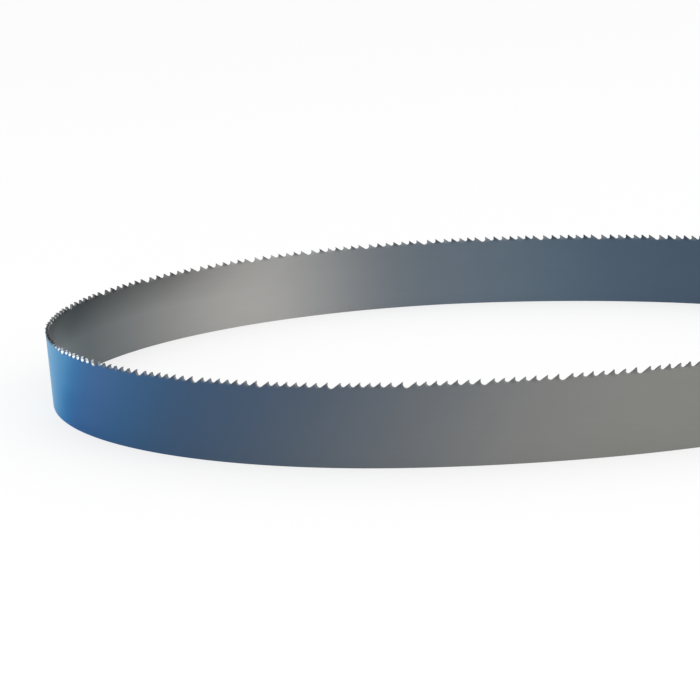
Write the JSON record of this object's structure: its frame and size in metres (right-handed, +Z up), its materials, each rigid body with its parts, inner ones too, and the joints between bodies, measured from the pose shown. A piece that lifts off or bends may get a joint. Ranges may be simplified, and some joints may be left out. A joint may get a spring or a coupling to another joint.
{
  "type": "band saw blade",
  "caption": "Closed steel band saw blade standing on its back edge, with variable-pitch raker-set teeth along its upper edge.",
  "frame": {"origin": "centre of the loop's box, on the surface that the back edge stands on", "axes": "+X along the loop's longer way, towards its fuller end; +Z up, from the back edge to the teeth; seen from above the teeth point counterclockwise"},
  "size_m": [0.317, 0.2197, 0.027],
  "materials": {
    "steel": "satin, rolled lengthwise"
  },
  "bodies": {
    "root": {"blade": "steel"}
  },
  "joints": []
}
